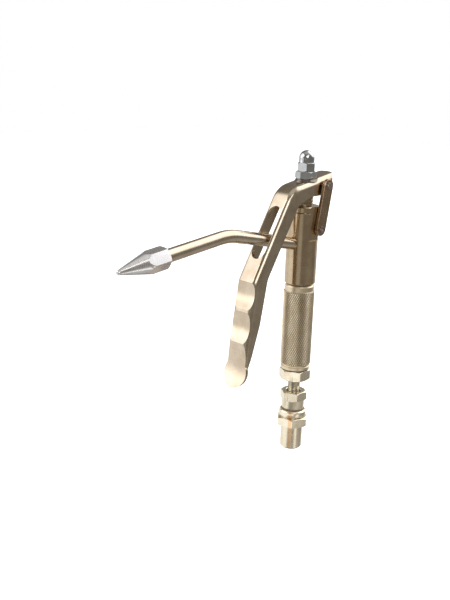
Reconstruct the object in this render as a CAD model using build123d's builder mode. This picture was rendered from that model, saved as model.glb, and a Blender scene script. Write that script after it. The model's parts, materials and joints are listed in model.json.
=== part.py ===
from build123d import *
import math
import os

os.makedirs("parts", exist_ok=True)

# Grease gun handpiece: a lever-worked booster with a bent spout, a knurled grip and a swivel
# inlet. Z runs up the barrel axis, the lever and the spout point to -X, the links are behind
# the barrel at +X, and Z = 0 is the open end of the inlet sleeve. Everything is in mm.

# ---------------------------------------------------------------- driving sizes
BARREL_R = 12.5          # barrel, gland ring and knurl share one diameter
FLAT_Y = BARREL_R - 1.3  # half the distance across the two milled flats
RUN = 0.05               # radial clearance of a turning fit
THREAD = 0.03            # radial gap left between a plain-modelled thread and its hole
SLEEVE_R = 9.05
SLEEVE_TOP = 20.8
PORT_R = 6.58            # minor radius of the 1/4 inch pipe thread in the inlet
PORT_DEEP = 14.0
NUT_TOP = SLEEVE_TOP + 13.8      # top of the round band of the coupling nut
BAND_R = 11.2
HEX3_AF = 23.5
HOUSE_TOP = NUT_TOP + 16.3       # top face of the swivel housing
HEX2_AF = 19.6
STEM_R = 4.95
HEX1_LOW = HOUSE_TOP + 9.7
HEX1_TOP = HEX1_LOW + 9.5
HEX1_AF = 22.6
GRIP_LONG = 71.9
GRIP_LOW = HEX1_TOP + 0.8
GRIP_TOP = GRIP_LOW + GRIP_LONG
NECK_R = BARREL_R - 0.7
STEM_SPIGOT = 8.0        # screwed end of the swivel stem in the grip
BODY_SPIGOT = BARREL_R - 3.5     # screwed end of the barrel in the grip
BODY_LOW = GRIP_TOP + 0.8
BODY_TOP = BODY_LOW + 58.1
RING_TOP = BODY_TOP + 4.8
LEDGE_Z = BODY_TOP - 22.1        # where the flats end
PLUNGER_R = 7.0
WELL_R = PLUNGER_R + 1.2         # well for the return spring and the plunger's collar
GLAND_R = (PLUNGER_R + FLAT_Y) / 2 + 0.9     # thread of the gland ring in the barrel
PIN_R = 2.1              # link pivots
HEAD_R = 2.8             # their heads
HEAD_T = 1.2
SCREW_R = 1.6            # thread of the two link screws
ROD_R = 2.5              # pumping rod
PACK_R = ROD_R + 2.1     # packing pocket
WEB_Z = RING_TOP + 20.4  # top of the lever web on the plunger axis
LOW_PIN = (5.8, BODY_TOP - 13.2)     # lower link pivot, X and Z
TOP_PIN = (12.0, WEB_Z - 4.6)    # upper link pivot, X and Z
LINK_IN = max(FLAT_Y + 0.3, PLUNGER_R + 4.5)     # inner face of each link from the middle plane
LINK_T = 3.0
LINK_W = 10.6
LEVER_HALF = LINK_IN - 1.5
SHEET = 2.5
CORNER_R = 4.5
STUD_R = 4.0
BALL_END_Z = WEB_Z - 1.8 # centre of the stud's round lower end, halfway through the web
JAM_AF = 3.65 * STUD_R
ACORN_AF = 3.25 * STUD_R
SEAT_Z = WEB_Z + 0.55    # flat seat for the jam nut, pressed up out of the web
SEAT_R = JAM_AF / 2 + 0.4
TOUCH = 0.1              # working gap between the stud's round end and the plunger
SPOUT_R = 5.0
SPOUT_ROOT_Z = BODY_TOP - 25.5
SOCKET_R = SPOUT_R + 0.05
BALL_R = 1.25            # swivel bearing balls
BALL_RING = STEM_R + 0.035
BALL_Z = NUT_TOP + 5.0
HOUSE_SPIGOT = STEM_R + 2.45     # screwed end of the swivel housing in the coupling nut
SLEEVE_SPIGOT = 5.9      # screwed end of the inlet sleeve in the coupling nut


def save(part, name):
    part.label = name
    export_step(part, "parts/" + name + ".step")


def turned(points):
    """Solid of revolution about Z from a closed outline of (radius, height) points."""
    with BuildPart(mode=Mode.PRIVATE) as t:
        with BuildSketch(Plane.XZ):
            with BuildLine():
                Polyline(*points, close=True)
            make_face()
        revolve(axis=Axis.Z)
    return t.part


def hexagon(af, z0, z1, turn, low=0.0, top=0.0):
    """Hexagonal prism with its corners turned back by a 30 degree cone at either end."""
    corner = af / math.sqrt(3)
    slope = math.tan(math.radians(30))
    with BuildPart(mode=Mode.PRIVATE) as h:
        with BuildSketch(Plane.XY.offset(z0)):
            RegularPolygon(af / 2, 6, major_radius=False, rotation=turn)
        extrude(amount=z1 - z0)
        if low == 0:
            outline = [(0, z0), (corner + 1, z0)]
        else:
            outline = [(0, z0), (corner - low / slope, z0), (corner + 1, z0 + low + slope)]
        if top == 0:
            outline += [(corner + 1, z1), (0, z1)]
        else:
            outline += [(corner + 1, z1 - top - slope), (corner - top / slope, z1), (0, z1)]
        with BuildSketch(Plane.XZ):
            with BuildLine():
                Polyline(*outline, close=True)
            make_face()
        revolve(axis=Axis.Z, mode=Mode.INTERSECT)
    return h.part


def coil(radius, wire, z0, z1, turns):
    """Open coil spring with its wire centre line from z0 to z1, standing on Z."""
    with BuildPart(mode=Mode.PRIVATE) as c:
        with BuildLine(Plane.XY.offset(z0)) as path:
            Helix(pitch=(z1 - z0) / turns, height=z1 - z0, radius=radius)
        with BuildSketch(path.line ^ 0):
            Circle(wire)
        sweep()
    return c.part


# ---------------------------------------------------------------- inlet sleeve and coupling
with BuildPart() as inlet_sleeve:
    add(turned([(PORT_R, 0), (SLEEVE_R - 1.4, 0), (SLEEVE_R, 1.4), (SLEEVE_R, SLEEVE_TOP - 0.3),
                (SLEEVE_R - 0.3, SLEEVE_TOP), (SLEEVE_SPIGOT, SLEEVE_TOP),
                (SLEEVE_SPIGOT, SLEEVE_TOP + 3.2), (2.6, SLEEVE_TOP + 3.2), (2.6, PORT_DEEP + 3),
                (PORT_R, PORT_DEEP)]))
save(inlet_sleeve.part, "inlet_sleeve")

with BuildPart() as coupling_nut:
    add(hexagon(HEX3_AF, SLEEVE_TOP + 0.05, NUT_TOP - 6.3, 42, low=0.5, top=1.3))
    add(turned([(0, NUT_TOP - 7.0), (9.9, NUT_TOP - 7.0), (9.9, NUT_TOP - 5.9),
                (BAND_R - 0.7, NUT_TOP - 5.9), (BAND_R, NUT_TOP - 5.2),
                (BAND_R, NUT_TOP - 1.1), (BAND_R - 1.1, NUT_TOP), (0, NUT_TOP)]))
    add(turned([(0, SLEEVE_TOP - 1), (SLEEVE_SPIGOT + THREAD, SLEEVE_TOP - 1),
                (SLEEVE_SPIGOT + THREAD, SLEEVE_TOP + 3.8), (HOUSE_SPIGOT + THREAD, SLEEVE_TOP + 3.8),
                (HOUSE_SPIGOT + THREAD, NUT_TOP + 1), (0, NUT_TOP + 1)]), mode=Mode.SUBTRACT)
save(coupling_nut.part, "coupling_nut")

with BuildPart() as dust_ring:
    add(turned([(HOUSE_SPIGOT + 0.05, NUT_TOP + 0.05), (8.6, NUT_TOP + 0.05), (8.8, NUT_TOP + 0.4),
                (8.8, NUT_TOP + 1.0), (8.6, NUT_TOP + 1.35), (HOUSE_SPIGOT + 0.05, NUT_TOP + 1.35)]))
save(dust_ring.part, "dust_ring")

# ---------------------------------------------------------------- swivel
with BuildPart() as swivel_housing:
    add(hexagon(HEX2_AF, HOUSE_TOP - 7.7, HOUSE_TOP, 57.6, low=0.9, top=1.1))
    add(turned([(0, NUT_TOP + 1.4), (8.9, NUT_TOP + 1.4), (9.3, NUT_TOP + 1.8), (9.3, HOUSE_TOP - 7.3),
                (0, HOUSE_TOP - 7.3)]))
    add(turned([(0, SLEEVE_TOP + 4.0), (HOUSE_SPIGOT - 0.4, SLEEVE_TOP + 4.0),
                (HOUSE_SPIGOT, SLEEVE_TOP + 4.4), (HOUSE_SPIGOT, NUT_TOP + 1.6), (0, NUT_TOP + 1.6)]))
    add(turned([(0, SLEEVE_TOP), (STEM_R + RUN, SLEEVE_TOP), (STEM_R + RUN, HOUSE_TOP - 4.7),
                (STEM_R + 1.15, HOUSE_TOP - 4.7), (STEM_R + 1.15, HOUSE_TOP - 0.4),
                (STEM_R + 1.55, HOUSE_TOP + 0.01), (0, HOUSE_TOP + 1)]),
        mode=Mode.SUBTRACT)
    with Locations((0, 0, BALL_Z)):
        Torus(BALL_RING, BALL_R + 0.05, mode=Mode.SUBTRACT)
save(swivel_housing.part, "swivel_housing")

with BuildPart() as swivel_stem:
    add(hexagon(HEX1_AF, HEX1_LOW, HEX1_TOP, 2, low=2.0, top=1.0))
    add(turned([(0, HEX1_TOP - 1), (STEM_SPIGOT, HEX1_TOP - 1), (STEM_SPIGOT, GRIP_LOW + 8.3),
                (STEM_SPIGOT - 0.8, GRIP_LOW + 9.1), (0, GRIP_LOW + 9.1)]))
    add(turned([(0, SLEEVE_TOP + 5.6), (STEM_R - 0.55, SLEEVE_TOP + 5.6), (STEM_R, SLEEVE_TOP + 6.2),
                (STEM_R, HOUSE_TOP + 0.7), (STEM_R - 0.65, HOUSE_TOP + 0.7),
                (STEM_R - 0.65, HOUSE_TOP + 2.5), (STEM_R + 0.05, HOUSE_TOP + 2.5),
                (STEM_R + 0.05, HEX1_LOW - 0.4), (STEM_R + 1.25, HEX1_LOW + 0.2),
                (0, HEX1_LOW + 0.2)]))
    with Locations((0, 0, BALL_Z)):
        Torus(BALL_RING, BALL_R + 0.05, mode=Mode.SUBTRACT)
    add(turned([(STEM_R - 1.3, SLEEVE_TOP + 8.1), (STEM_R + 1, SLEEVE_TOP + 8.1),
                (STEM_R + 1, SLEEVE_TOP + 9.7), (STEM_R - 1.3, SLEEVE_TOP + 9.7)]), mode=Mode.SUBTRACT)
    with Locations((0, 0, HOUSE_TOP)):
        Cylinder(1.8, 100, mode=Mode.SUBTRACT)
save(swivel_stem.part, "swivel_stem")

with BuildPart() as swivel_balls:
    with Locations((0, 0, BALL_Z)):
        with PolarLocations(BALL_RING, 10):
            Sphere(BALL_R)
save(swivel_balls.part, "swivel_balls")

with BuildPart() as stem_oring:
    with Locations((0, 0, SLEEVE_TOP + 8.9)):
        Torus(STEM_R - 0.63, 0.62)
save(stem_oring.part, "stem_oring")

# ---------------------------------------------------------------- grip
with BuildPart() as grip_washer:
    add(turned([(STEM_SPIGOT + 0.1, HEX1_TOP + 0.03), (10.4, HEX1_TOP + 0.03), (10.4, GRIP_LOW - 0.03),
                (STEM_SPIGOT + 0.1, GRIP_LOW - 0.03)]))
save(grip_washer.part, "grip_washer")

with BuildPart() as grip_sleeve:
    add(turned([(0, GRIP_LOW), (NECK_R - 0.5, GRIP_LOW), (NECK_R, GRIP_LOW + 0.5), (NECK_R, GRIP_LOW + 2.7),
                (NECK_R - 0.5, GRIP_LOW + 3.0), (NECK_R - 0.5, GRIP_LOW + 4.0),
                (BARREL_R, GRIP_LOW + 5.1), (BARREL_R, GRIP_TOP - 5.8), (NECK_R, GRIP_TOP - 5.1),
                (NECK_R, GRIP_TOP - 1.3), (NECK_R - 1.3, GRIP_TOP), (0, GRIP_TOP)]))
    add(turned([(0, GRIP_LOW - 1), (STEM_SPIGOT + THREAD, GRIP_LOW - 1),
                (STEM_SPIGOT + THREAD, GRIP_LOW + 10.1), (4.0, GRIP_LOW + 12.1),
                (4.0, GRIP_TOP - 14.8), (BODY_SPIGOT + THREAD, GRIP_TOP - 12.8),
                (BODY_SPIGOT + THREAD, GRIP_TOP + 1), (0, GRIP_TOP + 1)]), mode=Mode.SUBTRACT)
save(grip_sleeve.part, "grip_sleeve")

with BuildPart() as body_washer:
    add(turned([(BODY_SPIGOT + 0.1, GRIP_TOP + 0.03), (BARREL_R - 1.6, GRIP_TOP + 0.03),
                (BARREL_R - 1.6, BODY_LOW - 0.03), (BODY_SPIGOT + 0.1, BODY_LOW - 0.03)]))
save(body_washer.part, "body_washer")

# ---------------------------------------------------------------- barrel
with BuildPart() as pump_body:
    add(turned([(0, BODY_LOW), (BARREL_R - 0.8, BODY_LOW), (BARREL_R, BODY_LOW + 0.8),
                (BARREL_R, BODY_TOP - 0.4), (BARREL_R - 0.4, BODY_TOP), (0, BODY_TOP)]))
    add(turned([(0, GRIP_TOP - 11.3), (BODY_SPIGOT - 0.7, GRIP_TOP - 11.3),
                (BODY_SPIGOT, GRIP_TOP - 10.6), (BODY_SPIGOT, BODY_LOW + 0.1), (0, BODY_LOW + 0.1)]))
    # stepped bore: foot valve socket, ball cage, throat, pump chamber, packing pocket, spring well
    add(turned([(0, GRIP_TOP - 12), (6.0 + THREAD, GRIP_TOP - 12), (6.0 + THREAD, BODY_LOW + 8.4),
                (4.0, BODY_LOW + 8.4), (4.0, BODY_LOW + 19.4), (1.6, BODY_LOW + 20.9),
                (1.6, BODY_LOW + 22.9), (ROD_R + 1.1, BODY_LOW + 24.4), (ROD_R + 1.1, BODY_TOP - 20.2),
                (ROD_R + 0.1, BODY_TOP - 19.2), (ROD_R + 0.1, BODY_TOP - 17.1),
                (PACK_R, BODY_TOP - 17.1), (PACK_R, BODY_TOP - 9.5), (WELL_R, BODY_TOP - 9.5),
                (WELL_R, BODY_TOP - 7.1), (GLAND_R + THREAD, BODY_TOP - 7.1),
                (GLAND_R + THREAD, BODY_TOP + 1), (0, BODY_TOP + 1)]), mode=Mode.SUBTRACT)
    # milled flats either side
    with Locations((0, 0, LEDGE_Z + 15)):
        with GridLocations(0, 2 * (FLAT_Y + 5), 1, 2):
            Box(40, 10, 30, mode=Mode.SUBTRACT)
    # brazing socket for the spout, rising a little towards the front, and its feed drilling
    with BuildSketch(Plane(origin=(-7.0, 0, SPOUT_ROOT_Z), z_dir=(-0.9806, 0, 0.1961))):
        Circle(SOCKET_R)
    extrude(amount=12, mode=Mode.SUBTRACT)
    with BuildSketch(Plane(origin=(0, 0, SPOUT_ROOT_Z - 1.4), z_dir=(-0.9806, 0, 0.1961))):
        Circle(1.6)
    extrude(amount=8, mode=Mode.SUBTRACT)
    # blind holes for the two link screws
    with BuildSketch(Plane.XZ):
        with Locations(LOW_PIN):
            Circle(SCREW_R + THREAD)
    extrude(amount=14, both=True, mode=Mode.SUBTRACT)
    with Locations((LOW_PIN[0], 0, LOW_PIN[1])):
        Box(9.0, 13.4, 5.0)
    with Locations((0, 0, LOW_PIN[1])):
        Cylinder(PACK_R, 7.4, mode=Mode.SUBTRACT)
save(pump_body.part, "pump_body")

with BuildPart() as gland_ring:
    add(turned([(PLUNGER_R + RUN, RING_TOP - 0.6), (PLUNGER_R + 0.65, RING_TOP),
                (BARREL_R - 0.8, RING_TOP), (BARREL_R, RING_TOP - 0.8),
                (BARREL_R, BODY_TOP + 0.45), (BARREL_R - 0.4, BODY_TOP + 0.05),
                (GLAND_R, BODY_TOP + 0.05), (GLAND_R, BODY_TOP - 6.8), (WELL_R, BODY_TOP - 6.8),
                (WELL_R, BODY_TOP + 1.3), (PLUNGER_R + RUN, BODY_TOP + 1.3)]))
    with Locations((0, 0, BODY_TOP)):
        with GridLocations(0, 2 * (FLAT_Y + 5), 1, 2):
            Box(40, 10, 30, mode=Mode.SUBTRACT)
save(gland_ring.part, "gland_ring")

# three stacked packing rings and the washer that holds them down
with BuildPart() as packing_rings:
    for level in range(3):
        low = BODY_TOP - 17.0 + level * 2.2
        add(turned([(ROD_R + 0.03, low), (PACK_R - 0.1, low), (PACK_R - 0.1, low + 2.0),
                    (ROD_R + 0.03, low + 2.0)]))
save(packing_rings.part, "packing_rings")

with BuildPart() as packing_washer:
    add(turned([(ROD_R + 0.1, BODY_TOP - 10.35), (PACK_R - 0.1, BODY_TOP - 10.35),
                (PACK_R - 0.1, BODY_TOP - 9.45), (WELL_R - 0.2, BODY_TOP - 9.45),
                (WELL_R - 0.2, BODY_TOP - 8.7), (ROD_R + 0.1, BODY_TOP - 8.7)]))
save(packing_washer.part, "packing_washer")

# ---------------------------------------------------------------- foot valve
with BuildPart() as inlet_seat:
    add(turned([(1.8, BODY_LOW - 3.6), (5.4, BODY_LOW - 3.6), (6.0, BODY_LOW - 3.0),
                (6.0, BODY_LOW + 8.3), (3.2, BODY_LOW + 8.3), (3.2, BODY_LOW + 9.8),
                (2.2, BODY_LOW + 9.8), (1.8, BODY_LOW + 9.4)]))
    with Locations((0, 0, BODY_LOW - 2.9)):
        Box(16, 1.8, 1.8, mode=Mode.SUBTRACT)
save(inlet_seat.part, "inlet_seat")

with BuildPart() as inlet_ball:
    with Locations((0, 0, BODY_LOW + 11.9)):
        Sphere(3.0)
save(inlet_ball.part, "inlet_ball")

with BuildPart() as inlet_spring:
    add(coil(2.2, 0.28, BODY_LOW + 14.6, BODY_LOW + 19.7, 5))
save(inlet_spring.part, "inlet_spring")

# ---------------------------------------------------------------- plunger
PUSH_Z = BALL_END_Z - STUD_R - TOUCH
JAM_TOP = SEAT_Z + 5.85
STUD_TOP = JAM_TOP + 11.2

with BuildPart() as plunger:
    add(turned([(0, BODY_TOP - 25.7), (ROD_R - 0.3, BODY_TOP - 25.7), (ROD_R, BODY_TOP - 25.4),
                (ROD_R, BODY_TOP - 1.5), (WELL_R - 0.3, BODY_TOP - 1.5), (WELL_R - 0.3, BODY_TOP + 0.9),
                (PLUNGER_R, BODY_TOP + 0.9), (PLUNGER_R, RING_TOP + 2.1),
                (PLUNGER_R - 0.3, RING_TOP + 2.4), (PLUNGER_R - 0.3, RING_TOP + 2.8),
                (PLUNGER_R, RING_TOP + 3.1), (PLUNGER_R, RING_TOP + 4.7),
                (PLUNGER_R - 0.3, RING_TOP + 5.0), (PLUNGER_R - 0.3, RING_TOP + 5.4),
                (PLUNGER_R, RING_TOP + 5.7), (PLUNGER_R, PUSH_Z - 1.2), (PLUNGER_R - 1.2, PUSH_Z),
                (0, PUSH_Z)]))
save(plunger.part, "plunger")

# adjusting stud, screwed down through the web until its round end bears on the plunger
with BuildPart() as push_stud:
    with BuildSketch(Plane.XZ):
        with BuildLine():
            RadiusArc((STUD_R, BALL_END_Z), (0, BALL_END_Z - STUD_R), STUD_R)
            Polyline((0, BALL_END_Z - STUD_R), (0, STUD_TOP), (STUD_R - 0.5, STUD_TOP),
                     (STUD_R, STUD_TOP - 0.5), (STUD_R, BALL_END_Z))
        make_face()
    revolve(axis=Axis.Z)
save(push_stud.part, "push_stud")

with BuildPart() as return_spring:
    add(coil(PLUNGER_R - 0.8, 0.5, BODY_TOP - 8.1, BODY_TOP - 2.05, 3.5))
save(return_spring.part, "return_spring")

with BuildPart() as jam_nut:
    add(hexagon(JAM_AF, SEAT_Z + 0.05, JAM_TOP, 10, low=0.7, top=0.7))
    with Locations((0, 0, SEAT_Z)):
        Cylinder(STUD_R + THREAD, 20, mode=Mode.SUBTRACT)
save(jam_nut.part, "jam_nut")

DOME_R = ACORN_AF / 2 - 0.3

with BuildPart() as acorn_nut:
    add(hexagon(ACORN_AF, JAM_TOP + 0.05, JAM_TOP + 6.9, 42, low=0.6, top=0.9))
    with BuildSketch(Plane.XZ):
        with BuildLine():
            Polyline((0, JAM_TOP + 5.7), (DOME_R, JAM_TOP + 5.7), (DOME_R, JAM_TOP + 10))
            RadiusArc((DOME_R, JAM_TOP + 10), (0, JAM_TOP + 10 + DOME_R), -DOME_R)
            Line((0, JAM_TOP + 10 + DOME_R), (0, JAM_TOP + 5.7))
        make_face()
    revolve(axis=Axis.Z)
    with Locations((0, 0, JAM_TOP)):
        Cylinder(STUD_R + THREAD, 2 * (STUD_TOP - JAM_TOP + 0.4), mode=Mode.SUBTRACT)
save(acorn_nut.part, "acorn_nut")

# ---------------------------------------------------------------- lever
# outer line of the web from the rear end over the plunger, down to the grip and the tongue
REAR_X = 26.0
REAR_ROUND = 11.0
KNEE = (-24.3, WEB_Z - 0.19 * 24.3)
HIP = (-63.0, WEB_Z - 72.5)
RIDGES = [HIP, (-66.9, WEB_Z - 94.8), (-70.4, WEB_Z - 119.8)]
HEEL = (-73.9, WEB_Z - 151.9)     # where the last scallop runs out in the lip
SCALLOP = 2.2
SLOT_W = 2 * SPOUT_R + 3.2
SLOT_LOW = WEB_Z - 56.6   # lower and upper ends of the slot
SLOT_TOP = WEB_Z - 18.3
LIP_R = 11.4             # the lip is a spoon-shaped tongue, wider than the channel
LIP_LOW = WEB_Z - 155.5
LIP_TOP = WEB_Z - 142.4
LEVER_END = WEB_Z - 177   # well below the lip
# free edges of the two flanges, from the rear end to the last scallop
FREE_EDGE = [(REAR_X, WEB_Z - 7.9), (17.0, WEB_Z - 12.0), (-3.0, WEB_Z - 12.3), (-17.5, WEB_Z - 17.4),
             (-49.4, WEB_Z - 71.7), (-56.0, WEB_Z - 106.4), (-64.0, WEB_Z - 131.9)]


def scallop_arc(upper, lower):
    """Centre and radius of the shallow circle through two ridges."""
    chord = math.dist(upper, lower)
    r = (chord * chord / 4 + SCALLOP * SCALLOP) / (2 * SCALLOP)
    ux = (lower[0] - upper[0]) / chord
    uz = (lower[1] - upper[1]) / chord
    centre = ((upper[0] + lower[0]) / 2 + uz * (r - SCALLOP),
              (upper[1] + lower[1]) / 2 - ux * (r - SCALLOP))
    return centre, r


def lever_core(half, inset, edge_r):
    """Solid filling the lever out to its web, with rounded long edges and three finger scallops."""
    with BuildPart(mode=Mode.PRIVATE) as core:
        with BuildSketch(Plane.XZ) as side:
            with BuildLine():
                Polyline((45, WEB_Z + 0.19 * 45), KNEE, HIP, RIDGES[-1], HEEL, (-75, LEVER_END),
                         (45, LEVER_END), close=True)
            make_face()
            knee = side.vertices().sort_by_distance(Vector(KNEE[0], KNEE[1], 0))[0]
            fillet(knee, 21)
            hip = side.vertices().sort_by_distance(Vector(HIP[0], HIP[1], 0))[0]
            fillet(hip, 14)
            if inset > 0:
                offset(amount=-inset, mode=Mode.REPLACE)
        extrude(amount=half, both=True)
        fillet(core.faces().filter_by(Axis.Y).edges(), edge_r)
        for upper, lower in zip(RIDGES, RIDGES[1:] + [HEEL]):
            centre, r = scallop_arc(upper, lower)
            with BuildSketch(Plane.XZ):
                with Locations(centre):
                    Circle(r + inset)
            extrude(amount=30, both=True, mode=Mode.SUBTRACT)
    return core.part



def lip():
    """Round plate at the lever's lower end, bent to the circle of the last scallop."""
    centre, r = scallop_arc(RIDGES[-1], HEEL)
    with BuildPart(mode=Mode.PRIVATE) as plate:
        with BuildSketch(Plane.XZ):
            with Locations(centre):
                Circle(r + SHEET)
                Circle(r, mode=Mode.SUBTRACT)
        extrude(amount=20, both=True)
        with BuildSketch(Plane.YZ):
            with Locations((0, LIP_LOW + LIP_R)):
                Circle(LIP_R)
        extrude(amount=-100, mode=Mode.INTERSECT)
    return plate.part


with BuildPart() as lever:
    add(lever_core(LEVER_HALF, 0, CORNER_R))
    # level seat for the jam nut: pressed up at the front, spot-faced into the web at the rear
    add(turned([(0, WEB_Z - 2.9), (SEAT_R + 1.6, WEB_Z - 2.9), (SEAT_R + 1.3, WEB_Z - 1.3),
                (SEAT_R, SEAT_Z), (0, SEAT_Z)]))
    add(turned([(0, SEAT_Z), (SEAT_R + 1.0, SEAT_Z), (SEAT_R + 1.6, SEAT_Z + 3), (0, SEAT_Z + 3)]),
        mode=Mode.SUBTRACT)
    add(lever_core(LEVER_HALF - SHEET, SHEET, CORNER_R - SHEET), mode=Mode.SUBTRACT)
    # side outline: free edges of the two flanges
    with BuildSketch(Plane.XZ) as outline:
        with BuildLine():
            Polyline(*FREE_EDGE, (-68.6, LIP_TOP), (-100, LIP_TOP), (-100, WEB_Z + 9),
                     (REAR_X, WEB_Z + 9), close=True)
        make_face()
        for (x, z), bend in zip(FREE_EDGE, (5, 5, 12, 12, 20, 30)):
            fillet(outline.vertices().sort_by_distance(Vector(x, z, 0))[0], bend)
    extrude(amount=20, both=True, mode=Mode.INTERSECT)
    # lip: a round plate that carries on the curve of the last scallop
    add(lip())
    # rounded corners at the rear of the web, seen from above
    with BuildSketch(Plane.XY.offset(LEVER_END)):
        with Locations((REAR_X - 110, 0)):
            RectangleRounded(220, 2 * LIP_R + 1, REAR_ROUND)
    extrude(amount=220, mode=Mode.INTERSECT)
    # long slot for the spout
    with BuildSketch(Plane.YZ.offset(-90)):
        with Locations((0, (SLOT_LOW + SLOT_TOP) / 2)):
            SlotOverall(SLOT_TOP - SLOT_LOW, SLOT_W, rotation=90)
    extrude(amount=67, mode=Mode.SUBTRACT)
    with Locations((0, 0, WEB_Z)):
        Cylinder(STUD_R + THREAD, 20, mode=Mode.SUBTRACT)
    with BuildSketch(Plane.XZ):
        with Locations(TOP_PIN):
            Circle(PIN_R + RUN)
    extrude(amount=20, both=True, mode=Mode.SUBTRACT)
save(lever.part, "lever")

# ---------------------------------------------------------------- links and pivots
LINK_MID = ((LOW_PIN[0] + TOP_PIN[0]) / 2, (LOW_PIN[1] + TOP_PIN[1]) / 2)
LINK_LEN = math.dist(LOW_PIN, TOP_PIN)
LINK_TURN = math.degrees(math.atan2(TOP_PIN[1] - LOW_PIN[1], TOP_PIN[0] - LOW_PIN[0]))

with BuildPart() as link_left:
    with BuildSketch(Plane.XZ.offset(LINK_IN)):
        with Locations(LINK_MID):
            SlotCenterToCenter(LINK_LEN, LINK_W, rotation=LINK_TURN)
        with Locations(LOW_PIN, TOP_PIN):
            Circle(PIN_R + RUN, mode=Mode.SUBTRACT)
    extrude(amount=LINK_T)
    chamfer(link_left.faces().sort_by(Axis.Y)[0].outer_wire().edges(), 0.4)
    chamfer(link_left.faces().sort_by(Axis.Y)[-1].outer_wire().edges(), 0.3)
save(link_left.part, "link_left")

with BuildPart() as link_right:
    mirror(link_left.part, about=Plane.XZ)
save(link_right.part, "link_right")

# through rivet at the top, with an upset head outside each link
with BuildPart() as lever_pin:
    with BuildSketch(Plane.XZ.offset(-LINK_IN - LINK_T - 0.05)):
        with Locations(TOP_PIN):
            Circle(PIN_R)
    extrude(amount=2 * (LINK_IN + LINK_T + 0.05))
    for side in (1, -1):
        face = Plane.XZ.offset(side * (LINK_IN + LINK_T + 0.05))
        with BuildSketch(face):
            with Locations(TOP_PIN):
                Circle(HEAD_R)
        extrude(amount=side * HEAD_T, taper=8)
        with BuildSketch(Plane.XZ.offset(side * (LINK_IN + LINK_T + 0.05 + HEAD_T))):
            with Locations(TOP_PIN):
                Circle(1.6)
        extrude(amount=-side * 0.7, taper=20, mode=Mode.SUBTRACT)
save(lever_pin.part, "lever_pin")

# two shoulder screws hold the lower link ends against the flats
with BuildPart() as link_screws:
    for side in (1, -1):
        with BuildSketch(Plane.XZ.offset(side * 7.4)):
            with Locations(LOW_PIN):
                Circle(SCREW_R)
        extrude(amount=side * (FLAT_Y + 0.05 - 7.4))
        with BuildSketch(Plane.XZ.offset(side * (FLAT_Y + 0.05))):
            with Locations(LOW_PIN):
                Circle(PIN_R)
        extrude(amount=side * (LINK_IN + LINK_T + 0.1 - FLAT_Y - 0.05))
        with BuildSketch(Plane.XZ.offset(side * (LINK_IN + LINK_T + 0.1))):
            with Locations(LOW_PIN):
                Circle(HEAD_R)
        extrude(amount=side * HEAD_T, taper=8)
        with BuildSketch(Plane.XZ.offset(side * (LINK_IN + LINK_T + 0.1 + HEAD_T))):
            with Locations(LOW_PIN):
                RegularPolygon(1.5, 6)
        extrude(amount=-side * 1.2, mode=Mode.SUBTRACT)
save(link_screws.part, "link_screws")

# ---------------------------------------------------------------- spout and nozzle
CROWN = (-83.5, SPOUT_ROOT_Z + 15.3)
ROOT = (-7.05, SPOUT_ROOT_Z)
END_DIR = (-0.9914, -0.1311)
TUBE_END = (CROWN[0] + 72.0 * END_DIR[0], CROWN[1] + 72.0 * END_DIR[1])

with BuildPart() as spout_tube:
    with BuildLine(Plane.XZ) as run:
        FilletPolyline(ROOT, CROWN, TUBE_END, radius=54)
    with BuildSketch(Plane(origin=(ROOT[0], 0, ROOT[1]),
                           z_dir=(CROWN[0] - ROOT[0], 0, CROWN[1] - ROOT[1]))):
        Circle(SPOUT_R)
        Circle(2.0, mode=Mode.SUBTRACT)
    sweep(path=run.line)
save(spout_tube.part, "spout_tube")

# The nozzle is hexagon bar turned down to a long cone. It holds a spring-loaded check ball.
NOZZLE_LONG = 41.3
NOZZLE_AF = 14.6
TUBE_IN = 11.0           # how far the tube enters the nozzle
CHECK_R = 2.8
REAR_FACE = (TUBE_END[0] - TUBE_IN * END_DIR[0], TUBE_END[1] - TUBE_IN * END_DIR[1])
NOZZLE = Plane(origin=(REAR_FACE[0], 0, REAR_FACE[1]), x_dir=(0, 1, 0),
               z_dir=(END_DIR[0], 0, END_DIR[1]))
CORNER = NOZZLE_AF / math.sqrt(3)

with BuildPart() as nozzle_local:
    with BuildSketch(Plane.XY):
        RegularPolygon(NOZZLE_AF / 2, 6, major_radius=False, rotation=54.5)
    extrude(amount=NOZZLE_LONG)
    with BuildSketch(Plane.XZ):
        with BuildLine():
            Polyline((0, 0), (CORNER - 1.5, 0), (CORNER + 0.2, 1.0), (CORNER + 0.2, 13.4),
                     (1.75, NOZZLE_LONG - 0.9), (1.0, NOZZLE_LONG), (0, NOZZLE_LONG), close=True)
        make_face()
    revolve(axis=Axis.Z, mode=Mode.INTERSECT)
    add(turned([(0, -1), (SPOUT_R + THREAD, -1), (SPOUT_R + THREAD, TUBE_IN + 0.05),
                (3.3, TUBE_IN + 0.05), (3.3, 20.5), (1.0, 22.0), (0.7, 30.0), (0.7, 50), (0, 50)]),
        mode=Mode.SUBTRACT)
with BuildPart() as nozzle:
    add(NOZZLE.from_local_coords(nozzle_local.part))
save(nozzle.part, "nozzle")

SEAT_DROP = math.sqrt(CHECK_R * CHECK_R - 2.0 * 2.0) + 0.03
with BuildPart() as nozzle_ball:
    with Locations(NOZZLE.from_local_coords(Vector(0, 0, TUBE_IN + SEAT_DROP))):
        Sphere(CHECK_R)
save(nozzle_ball.part, "nozzle_ball")

with BuildPart() as nozzle_spring:
    add(NOZZLE.from_local_coords(coil(2.1, 0.3, TUBE_IN + 5.0, 20.0, 3)))
save(nozzle_spring.part, "nozzle_spring")
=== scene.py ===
import json
import math

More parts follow.
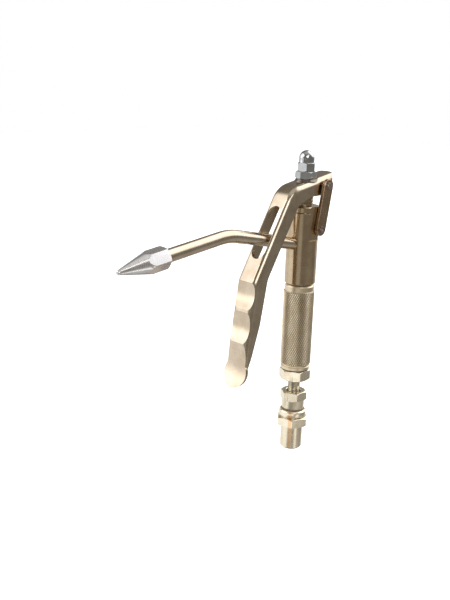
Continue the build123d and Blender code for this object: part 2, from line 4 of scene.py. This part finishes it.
import bmesh
import bpy
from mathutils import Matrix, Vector


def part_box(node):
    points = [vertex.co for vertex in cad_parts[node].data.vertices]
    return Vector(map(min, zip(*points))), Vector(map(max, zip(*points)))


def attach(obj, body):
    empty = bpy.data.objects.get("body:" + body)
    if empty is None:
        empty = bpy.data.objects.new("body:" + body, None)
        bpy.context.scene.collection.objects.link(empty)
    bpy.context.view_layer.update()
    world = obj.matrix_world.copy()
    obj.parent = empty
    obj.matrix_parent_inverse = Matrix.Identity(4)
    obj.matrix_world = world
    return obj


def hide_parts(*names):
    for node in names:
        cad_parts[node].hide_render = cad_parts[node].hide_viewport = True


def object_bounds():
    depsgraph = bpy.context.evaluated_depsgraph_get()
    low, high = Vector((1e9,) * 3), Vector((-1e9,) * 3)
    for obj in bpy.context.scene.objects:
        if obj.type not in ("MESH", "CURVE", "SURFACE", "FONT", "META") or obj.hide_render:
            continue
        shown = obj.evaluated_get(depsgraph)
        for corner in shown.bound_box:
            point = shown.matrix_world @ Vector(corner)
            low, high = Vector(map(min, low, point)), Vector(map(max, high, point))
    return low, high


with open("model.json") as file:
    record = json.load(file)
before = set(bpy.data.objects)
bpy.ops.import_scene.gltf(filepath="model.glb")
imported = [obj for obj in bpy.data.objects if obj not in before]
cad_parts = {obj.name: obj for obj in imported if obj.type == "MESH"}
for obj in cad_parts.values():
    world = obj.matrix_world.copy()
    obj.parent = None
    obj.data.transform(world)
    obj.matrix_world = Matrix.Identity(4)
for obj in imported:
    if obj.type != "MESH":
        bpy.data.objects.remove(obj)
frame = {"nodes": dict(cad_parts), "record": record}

# Grease gun handpiece: finish, knurled grip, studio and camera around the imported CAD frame.
# Everything is in metres in the frame's axes: Z up the barrel, the lever and spout to -X.
MM = 0.001
PER_MM = (1000, 1000, 1000)    # scales a place in metres to millimetres
CAD_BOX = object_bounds()
NODES = frame["nodes"]

# ------------------------------------------------------------------ camera
# angles in degrees, distances in metres, lens and sensor in mm
CAMERA_AZIMUTH = -45.0
CAMERA_ELEVATION = 15.39
CAMERA_ROLL = 1.92
CAMERA_DISTANCE = 0.69261
CAMERA_HEIGHT = 0.12657    # level on the barrel axis that the view is centred on
CAMERA_ASIDE = -0.05989    # to the right of the barrel axis
CAMERA_BEARING = 270 + CAMERA_AZIMUTH    # the camera's direction counted from +X round Z
LENS = 51.0
SENSOR = 36.0


def view_axes(azimuth, elevation):
    a = math.radians(azimuth)
    e = math.radians(elevation)
    right = Vector((math.cos(a), math.sin(a), 0))
    back = Vector((math.sin(a) * math.cos(e), -math.cos(a) * math.cos(e), math.sin(e)))
    return right, back.cross(right), back


def make_camera():
    right, up, back = view_axes(CAMERA_AZIMUTH, CAMERA_ELEVATION)
    roll = math.radians(CAMERA_ROLL)
    across = right * math.cos(roll) + up * math.sin(roll)
    upward = back.cross(across)
    data = bpy.data.cameras.new("camera")
    data.lens = LENS
    data.sensor_width = SENSOR
    camera = bpy.data.objects.new("camera", data)
    bpy.context.scene.collection.objects.link(camera)
    middle = Vector((0, 0, CAMERA_HEIGHT))
    place = middle + right * CAMERA_ASIDE + back * CAMERA_DISTANCE
    matrix = camera.matrix_world.copy()
    for row in range(3):
        matrix[row][0] = across[row]
        matrix[row][1] = upward[row]
        matrix[row][2] = back[row]
        matrix[row][3] = place[row]
    camera.matrix_world = matrix
    bpy.context.scene.camera = camera


# ------------------------------------------------------------------ node helpers
class Tree:
    """A node tree written as nested calls. A value is a number, a colour or another node's output."""

    def __init__(self, tree):
        self.tree = tree
        tree.nodes.clear()

    def node(self, kind, out=0, inputs=None, **settings):
        n = self.tree.nodes.new(kind)
        for key, value in settings.items():
            setattr(n, key, value)
        for key, value in (inputs or {}).items():
            socket = n.inputs[key]
            if isinstance(value, bpy.types.NodeSocket):
                self.tree.links.new(value, socket)
            else:
                socket.default_value = value
        return n.outputs[out]

    def math(self, operation, *values, clamp=False):
        return self.node("ShaderNodeMath", operation=operation, use_clamp=clamp,
                         inputs=dict(enumerate(values)))

    def ramp(self, value, low, high, to_low=0.0, to_high=1.0):
        return self.node("ShaderNodeMapRange", interpolation_type="SMOOTHSTEP",
                         inputs={"Value": value, "From Min": low, "From Max": high,
                                 "To Min": to_low, "To Max": to_high})

    def stretch(self, vector, scale, turn=(0, 0, 0)):
        return self.node("ShaderNodeMapping",
                         inputs={"Vector": vector, "Scale": scale,
                                 "Rotation": tuple(math.radians(a) for a in turn)})

    def noise(self, vector, scale, detail, rough):
        return self.node("ShaderNodeTexNoise", out="Fac",
                         inputs={"Vector": vector, "Scale": scale, "Detail": detail,
                                 "Roughness": rough})

    def grey(self, value):
        return self.node("ShaderNodeCombineColor", inputs={0: value, 1: value, 2: value})

    def dot(self, vector, direction):
        return self.node("ShaderNodeVectorMath", out="Value", operation="DOT_PRODUCT",
                         inputs={0: vector, 1: direction})

    def mix(self, factor, a, b, blend="MIX"):
        n = self.tree.nodes.new("ShaderNodeMix")
        n.data_type = "RGBA"
        n.blend_type = blend
        for index, value in ((0, factor), (6, a), (7, b)):
            if isinstance(value, bpy.types.NodeSocket):
                self.tree.links.new(value, n.inputs[index])
            elif index == 0:
                n.inputs[index].default_value = value
            else:
                n.inputs[index].default_value = (*value, 1)
        return n.outputs[2]


# ------------------------------------------------------------------ studio
def compass(beside, above):
    """Direction seen from the object: degrees to the right of the camera, and above the horizon."""
    azimuth = math.radians(CAMERA_BEARING + beside)
    height = math.radians(above)
    return (math.cos(azimuth) * math.cos(height), math.sin(azimuth) * math.cos(height),
            math.sin(height))


# soft boxes painted on the surroundings, in degrees: beside the camera, above the horizon, full and
# faded radius; then the strength
SOFT_BOXES = [
    (-92, 26, 20, 33, 1.6),      # big box on the left, which the lever web faces
    (-76, -15, 22, 36, 0.9),     # low left, seen by every upright face
    (-18, -15, 7, 18, 0.30),     # narrow gleam left of the middle of upright round pieces
    (-143, -17, 26, 42, 0.75),   # behind, low
    (152, -14, 16, 40, 0.40),    # right edge of upright round pieces
    (8, 26, 9, 20, 2.6),         # above the camera, for the rounded edges
    (120, 39, 27, 40, 1.9),      # right and behind, for the spout and nozzle
    (0, 90, 18, 40, 0.4),        # overhead
    (60, -60, 25, 55, 0.25),     # weak bounce from below
]
ROOM_LIGHT = (0.245, 0.235, 0.22)
BOX_TINT = (1.0, 1.04, 1.12)


def make_world():
    world = bpy.data.worlds.new("studio")
    world.use_nodes = True
    bpy.context.scene.world = world
    t = Tree(world.node_tree)
    toward = t.node("ShaderNodeTexCoord", out="Generated")
    glow = 0.0
    for beside, above, full, faded, strength in SOFT_BOXES:
        nearness = t.dot(toward, compass(beside, above))
        lobe = t.ramp(nearness, math.cos(math.radians(faded)), math.cos(math.radians(full)),
                      0.0, strength)
        glow = t.math("ADD", lobe, glow)
    red, green, blue = (t.math("MULTIPLY", glow, c) for c in BOX_TINT)
    boxes = t.node("ShaderNodeCombineColor", inputs={0: red, 1: green, 2: blue})
    light = t.mix(1.0, ROOM_LIGHT, boxes, blend="ADD")
    room = t.node("ShaderNodeBackground", inputs={"Color": light, "Strength": 1.0})
    backdrop = t.node("ShaderNodeBackground", inputs={"Color": (1, 1, 1, 1), "Strength": 1.0})
    seen = t.node("ShaderNodeLightPath", out="Is Camera Ray")
    shown = t.node("ShaderNodeMixShader", inputs={0: seen, 1: room, 2: backdrop})
    output = t.tree.nodes.new("ShaderNodeOutputWorld")
    t.tree.links.new(shown, output.inputs["Surface"])


FLOOR_HALF = 6.0
FLOOR_DROP = 0.30       # below the object, so that it lights it from below without touching it
FLOOR_GLOW = 0.7


def make_floor():
    mesh = bpy.data.meshes.new("floor")
    level = CAD_BOX[0].z - FLOOR_DROP
    corners = [(x * FLOOR_HALF, y * FLOOR_HALF, level) for x, y in ((-1, -1), (1, -1), (1, 1), (-1, 1))]
    mesh.from_pydata(corners, [], [(0, 1, 2, 3)])
    floor = bpy.data.objects.new("floor", mesh)
    bpy.context.scene.collection.objects.link(floor)
    floor.visible_glossy = False
    floor.visible_shadow = False
    mat = bpy.data.materials.new("pale_floor")
    mat.use_nodes = True
    bsdf = mat.node_tree.nodes["Principled BSDF"]
    bsdf.inputs["Base Color"].default_value = (0.9, 0.9, 0.9, 1)
    bsdf.inputs["Roughness"].default_value = 0.9
    bsdf.inputs["Emission Color"].default_value = (1, 1, 1, 1)
    bsdf.inputs["Emission Strength"].default_value = FLOOR_GLOW
    mesh.materials.append(mat)


# lamps: degrees beside the camera, above the horizon, metres away, width, height, watts
LAMPS = [
    ("key_lamp", -62, 40, 1.1, 0.35, 0.5, 1.2),
    ("fill_lamp", 35, 48, 1.2, 0.3, 0.3, 0.6),
    ("low_card", 52, -32, 0.42, 0.16, 0.12, 0.06),
    ("front_card", -14, -31, 0.36, 0.42, 0.09, 0.125),
]


def make_lamps():
    middle = (CAD_BOX[0] + CAD_BOX[1]) / 2
    for name, beside, above, away, width, height, watts in LAMPS:
        data = bpy.data.lights.new(name, "AREA")
        data.shape = "RECTANGLE"
        data.size = width
        data.size_y = height
        data.energy = watts
        lamp = bpy.data.objects.new(name, data)
        bpy.context.scene.collection.objects.link(lamp)
        toward = Vector(compass(beside, above))
        lamp.location = middle + toward * away
        lamp.rotation_mode = "QUATERNION"
        lamp.rotation_quaternion = toward.to_track_quat("Z", "Y")
        lamp.visible_camera = False


# ------------------------------------------------------------------ materials
RINGS = (0.22, 0.22, 5.5)      # tool marks round a turned piece
LENGTHWISE = (4.0, 4.0, 0.25)  # draw marks up a rolled sheet
ALONG_SPOUT = (5.0, 0.3, 0.3)  # marks on the spout and nozzle

# heights and radii below are in mm, from the inlet's open end and from the barrel axis
SEAT_LEVELS = (224.0, 225.5)   # painted shade in the crease round the nut's seat starts above these
CREASE_SHADE = 0.3
VALLEY_SHADE = 0.42            # painted shade in the knurl's grooves
CREST_SHADE = 1.2              # painted highlight on the knurl's crests
PLAIN_BELOW_VALLEY = (0.25, 0.1)   # the grip's plain rings are further in than the valleys by this
STRIPE_BESIDE = -13            # thin orange painted reflection, in degrees beside the camera
STRIPE_FADED = 9               # its half widths in degrees
STRIPE_FULL = 4
STRIPE_TOP = (33.0, 36.0)
STRIPE_STRENGTH = 0.75
PAINTED_REFLECTION_TINT = (0.86, 0.52, 0.24)
STEM_RADII = (5.3, 6.4)        # between the thin stem and the hexagons round it
STEM_SHADE = 0.58


def plated(name, dark, light, tint, rough, grain, streak=0.15, knurl_shade_radii=None, crease=None, fitting=False):
    """Plated steel: clouded passivation colours, fine tool marks along one direction, small pits.

    The knurl's valley and crest radii set painted shade in its grooves and a painted highlight on
    its crests; crease gives the radii of the painted shade round a nut's seat. A fitting gets a thin
    orange painted reflection and is darker on its thin stem.
    """
    mat = bpy.data.materials.new(name)
    mat.use_nodes = True
    t = Tree(mat.node_tree)
    mm = t.stretch(t.node("ShaderNodeTexCoord", out="Object"), PER_MM)
    clouds = t.noise(mm, 0.07, detail=4, rough=0.6)
    patches = t.noise(t.stretch(mm, (1, 1, 1), (20, 35, 10)), 0.16, detail=3, rough=0.55)
    marks = t.noise(t.stretch(mm, grain), 1.0, detail=3, rough=0.6)
    specks = t.noise(mm, 2.2, detail=2, rough=0.7)
    colour = t.mix(t.ramp(clouds, 0.36, 0.66), dark, light)
    colour = t.mix(t.math("MULTIPLY", t.ramp(patches, 0.45, 0.72), 0.55), colour, tint)
    shade = t.math("ADD", 1.0, t.math("MULTIPLY", t.math("SUBTRACT", marks, 0.5), streak))
    shade = t.math("MULTIPLY", shade, t.ramp(specks, 0.26, 0.36, 0.84, 1.0))
    flat = t.stretch(mm, (1, 1, 0))
    from_axis = t.node("ShaderNodeVectorMath", out="Value", operation="LENGTH", inputs={0: flat})
    height = t.node("ShaderNodeSeparateXYZ", out="Z", inputs={0: mm})
    if knurl_shade_radii:
        # painted shade in the knurl's grooves and a painted highlight on its crests, set by distance
        # from the axis
        crest = t.ramp(from_axis, *knurl_shade_radii, VALLEY_SHADE, CREST_SHADE)
        inner, outer = (knurl_shade_radii[0] - gap for gap in PLAIN_BELOW_VALLEY)
        plain = t.ramp(from_axis, inner, outer, 1.0, 0.0)
        shade = t.math("MULTIPLY", shade, t.math("MAXIMUM", crest, plain))
    if crease:
        # painted shade: a dark ring round the nut's seat on the lever, where the gap under the nut lies
        # in shadow
        near = t.ramp(from_axis, *crease, 1.0, 0.0)
        above = t.ramp(height, *SEAT_LEVELS)
        painted_seat_shade = t.ramp(t.math("MULTIPLY", near, above), 0, 1, 1.0, CREASE_SHADE)
        shade = t.math("MULTIPLY", shade, painted_seat_shade)
    if fitting:
        # painted reflection: an orange stripe down the side of each round fitting that faces a fixed
        # direction near the camera, low on the part
        outward = t.node("ShaderNodeVectorMath", out="Vector", operation="NORMALIZE", inputs={0: flat})
        painted_reflection = t.ramp(t.dot(outward, compass(STRIPE_BESIDE, 0)), math.cos(math.radians(STRIPE_FADED)),
                     math.cos(math.radians(STRIPE_FULL)))
        painted_reflection = t.math("MULTIPLY", painted_reflection, t.ramp(height, *STRIPE_TOP, STRIPE_STRENGTH, 0.0))
        colour = t.mix(painted_reflection, colour, PAINTED_REFLECTION_TINT)
        # the thin stem between the hexagons is made darker
        shade = t.math("MULTIPLY", shade, t.ramp(from_axis, *STEM_RADII, STEM_SHADE, 1.0))
    colour = t.mix(1.0, colour, t.grey(shade), blend="MULTIPLY")
    uneven = t.math("MULTIPLY", t.math("SUBTRACT", patches, 0.5), 0.08)
    roughness = t.math("ADD", uneven, t.math("ADD", t.math("MULTIPLY", marks, 0.10), rough - 0.05),
                       clamp=True)
    relief = t.math("ADD", t.math("MULTIPLY", marks, 0.7), t.math("MULTIPLY", specks, 0.3))
    bump = t.node("ShaderNodeBump", inputs={"Height": relief, "Strength": 0.06, "Distance": 0.02 * MM})
    bsdf = t.node("ShaderNodeBsdfPrincipled",
                  inputs={"Base Color": colour, "Metallic": 1.0, "Roughness": roughness,
                          "Normal": bump})
    output = t.tree.nodes.new("ShaderNodeOutputMaterial")
    t.tree.links.new(bsdf, output.inputs["Surface"])
    return mat


def dull(name, colour, rough):
    """Rubber or fibre: dark, faintly mottled and matt."""
    mat = bpy.data.materials.new(name)
    mat.use_nodes = True
    t = Tree(mat.node_tree)
    mm = t.stretch(t.node("ShaderNodeTexCoord", out="Object"), PER_MM)
    mottle = t.noise(mm, 1.6, detail=4, rough=0.65)
    pale = tuple(c * 1.8 + 0.01 for c in colour)
    shade = t.mix(t.ramp(mottle, 0.35, 0.7), colour, pale)
    bump = t.node("ShaderNodeBump", inputs={"Height": mottle, "Strength": 0.3, "Distance": 0.05 * MM})
    roughness = t.ramp(mottle, 0.3, 0.7, rough - 0.1, rough + 0.1)
    bsdf = t.node("ShaderNodeBsdfPrincipled",
                  inputs={"Base Color": shade, "Roughness": roughness, "Normal": bump})
    output = t.tree.nodes.new("ShaderNodeOutputMaterial")
    t.tree.links.new(bsdf, output.inputs["Surface"])
    return mat


def make_materials():
    """One finish per material slot: dark, light and tint colours, then roughness."""
    return {
        "barrel_plate": plated("barrel_plate", (0.47, 0.355, 0.215), (0.56, 0.44, 0.285),
                               (0.54, 0.38, 0.26), 0.17, RINGS),
        # grip: painted shade in the knurl's grooves and a painted highlight on its crests
        "grip_plate": plated("grip_plate", (0.66, 0.54, 0.36), (0.76, 0.65, 0.46),
                             (0.72, 0.56, 0.40), 0.36, RINGS, knurl_shade_radii=(12.1, 12.45)),
        # fittings: a painted orange reflection and a darker thin stem
        "fitting_plate": plated("fitting_plate", (0.80, 0.70, 0.50), (0.90, 0.82, 0.64),
                                (0.88, 0.68, 0.52), 0.27, RINGS, fitting=True),
        # lever: painted shade round the nut's seat
        "lever_plate": plated("lever_plate", (0.50, 0.40, 0.28), (0.60, 0.50, 0.37),
                              (0.55, 0.43, 0.325), 0.20, LENGTHWISE, streak=0.10, crease=(8.6, 10.6)),
        "link_plate": plated("link_plate", (0.36, 0.25, 0.15), (0.44, 0.32, 0.205),
                             (0.42, 0.27, 0.19), 0.26, LENGTHWISE),
        "spout_plate": plated("spout_plate", (0.56, 0.455, 0.33), (0.64, 0.535, 0.41),
                              (0.63, 0.46, 0.34), 0.20, ALONG_SPOUT, streak=0.12),
        "bright_nut": plated("bright_nut", (0.46, 0.46, 0.445), (0.54, 0.54, 0.52),
                             (0.50, 0.49, 0.465), 0.14, RINGS, streak=0.08),
        "nozzle_plate": plated("nozzle_plate", (0.78, 0.75, 0.72), (0.88, 0.86, 0.84),
                               (0.84, 0.77, 0.72), 0.26, ALONG_SPOUT, streak=0.10),
        "pin_steel": plated("pin_steel", (0.38, 0.32, 0.28), (0.54, 0.49, 0.46),
                            (0.30, 0.24, 0.26), 0.26, RINGS),
        "hard_steel": plated("hard_steel", (0.36, 0.28, 0.18), (0.46, 0.37, 0.25),
                             (0.40, 0.31, 0.22), 0.25, RINGS),
        "spring_steel": plated("spring_steel", (0.45, 0.46, 0.48), (0.55, 0.56, 0.58),
                               (0.50, 0.48, 0.46), 0.25, RINGS),
        "seal_rubber": dull("seal_rubber", (0.15, 0.12, 0.08), 0.5),
        "washer_fibre": dull("washer_fibre", (0.05, 0.04, 0.03), 0.75),
    }


def dress_nodes(materials):
    """Every carried-over CAD node gets the procedural finish of its material slot."""
    slots = {part["node"]: part["material_slot"] for part in frame["record"]["subparts"]}
    for name, node in NODES.items():
        finish = materials[slots[name]]
        for index in range(max(1, len(node.material_slots))):
            if index >= len(node.material_slots):
                node.data.materials.append(finish)
            node.material_slots[index].material = finish


# ------------------------------------------------------------------ knurled grip
KNURL_STARTS = 45        # grooves round the grip in each direction
KNURL_DEPTH = 0.40 * MM
KNURL_FLAT = 0.24        # share of each diamond left flat on top
KNURL_LOW = 5.1 * MM     # where the knurl starts above the grip's lower face
KNURL_LONG = 61.0 * MM
KNURL_ROWS = 40          # half diamonds along the grip
GRIP_BORE = 8.03 * MM    # bore round the swivel stem's screwed end
UPPER_BORE = 9.03 * MM   # bore round the barrel's screwed end
UPPER_BORE_DEEP = 12 * MM
NECK_STEP = 0.7 * MM     # the neck and the plain ring are this much inside the crests
# rings that close the grip, in mm: how far inside the neck, and height from the nearer end face
FOOT_RINGS = [(0.5, 4.0), (0.5, 3.0), (0, 2.6), (0, 0.5), (0.15, 0.2), (0.5, 0)]
NECK_RINGS = [(0, -5.1), (0, -1.4), (0.3, -0.9), (1.3, 0)]
SHARP_ANGLE = 25


def polar(radius, angle, z):
    """Point at a radius and angle round the barrel axis."""
    return Vector((radius * math.cos(angle), radius * math.sin(angle), z))


def knurl_band(bm, crest, z0):
    """Diamond knurl: crossed 30 degree grooves that leave small flat-topped pyramids."""
    step = math.pi / KNURL_STARTS
    rise = KNURL_LONG / KNURL_ROWS
    valley = crest - KNURL_DEPTH
    corners = {}

    def corner(m, n):
        key = (m % (2 * KNURL_STARTS), n)
        if key not in corners:
            corners[key] = bm.verts.new(polar(valley, m * step, z0 + n * rise))
        return corners[key]

    for n in range(KNURL_ROWS + 1):
        for m in range(2 * KNURL_STARTS):
            if (m + n) % 2 == 0:
                continue
            feet = [corner(m - 1, n), corner(m, n - 1), corner(m + 1, n), corner(m, n + 1)]
            tops = [bm.verts.new(polar(crest, (m + du * KNURL_FLAT) * step,
                                       z0 + (n + dv * KNURL_FLAT) * rise))
                    for du, dv in ((-1, 0), (0, -1), (1, 0), (0, 1))]
            bm.faces.new(tops)
            for i in range(4):
                j = (i + 1) % 4
                bm.faces.new((feet[i], feet[j], tops[j], tops[i]))


def trim(bm, z, keep):
    """Cuts the mesh at a level and drops what is past it. Returns the cut edges."""
    cut = bmesh.ops.bisect_plane(bm, geom=bm.verts[:] + bm.edges[:] + bm.faces[:], dist=1e-8,
                                 plane_co=(0, 0, z), plane_no=(0, 0, keep), clear_inner=True)
    return [e for e in cut["geom_cut"] if isinstance(e, bmesh.types.BMEdge)]


def next_ring(bm, edges, radius, z):
    """Extrudes a ring of edges to a circle of the given radius and height."""
    made = bmesh.ops.extrude_edge_only(bm, edges=edges)["geom"]
    for v in made:
        if isinstance(v, bmesh.types.BMVert):
            flat = Vector((v.co.x, v.co.y, 0)).normalized() * radius
            v.co = (flat.x, flat.y, z)
    ring = [e for e in made if isinstance(e, bmesh.types.BMEdge) and e.is_boundary]
    for f in {f for e in ring for f in e.link_faces}:
        f.smooth = True
    return ring


def make_grip(finish):
    """The grip as one closed mesh with a real knurl, in place of the plain CAD cylinder."""
    low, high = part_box("grip_sleeve")
    crest = high.x
    neck = crest - NECK_STEP
    bm = bmesh.new()
    z0 = low.z + KNURL_LOW
    knurl_band(bm, crest, z0)
    bottom = trim(bm, z0, 1)
    top = trim(bm, z0 + KNURL_LONG, -1)
    for inset, height in FOOT_RINGS:
        bottom = next_ring(bm, bottom, neck - inset * MM, low.z + height * MM)
    bottom = next_ring(bm, bottom, GRIP_BORE, low.z)
    for inset, height in NECK_RINGS:
        top = next_ring(bm, top, neck - inset * MM, high.z + height * MM)
    for level in (high.z, high.z - UPPER_BORE_DEEP):
        top = next_ring(bm, top, UPPER_BORE, level)
    bmesh.ops.bridge_loops(bm, edges=bottom + top)
    bmesh.ops.recalc_face_normals(bm, faces=bm.faces)
    mesh = bpy.data.meshes.new("knurled_grip")
    bm.to_mesh(mesh)
    bm.free()
    mesh.set_sharp_from_angle(angle=math.radians(SHARP_ANGLE))
    mesh.materials.append(finish)
    grip = bpy.data.objects.new("knurled_grip", mesh)
    bpy.context.scene.collection.objects.link(grip)
    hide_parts("grip_sleeve")
    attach(grip, "handle")


# bevel widths in mm
BEVELS = {"jam_nut": 0.25, "acorn_nut": 0.2, "swivel_stem": 0.25, "swivel_housing": 0.25,
          "coupling_nut": 0.25, "nozzle": 0.2}
BEVEL_FROM_ANGLE = 28    # degrees: flatter edges stay as they are
WELD_MM = 0.002


def soften_edges():
    """Small bevels on the carried-over CAD nodes, so that their edges catch the light."""
    for name, width in BEVELS.items():
        weld = NODES[name].modifiers.new("weld", "WELD")
        weld.merge_threshold = WELD_MM * MM
        bevel = NODES[name].modifiers.new("bevel", "BEVEL")
        bevel.width = width * MM
        bevel.segments = 2
        bevel.limit_method = "ANGLE"
        bevel.angle_limit = math.radians(BEVEL_FROM_ANGLE)
        bevel.harden_normals = True


make_camera()
make_world()
make_floor()
make_lamps()
MATERIALS = make_materials()
dress_nodes(MATERIALS)
make_grip(MATERIALS["grip_plate"])
soften_edges()
bpy.context.scene.view_settings.view_transform = "Standard"
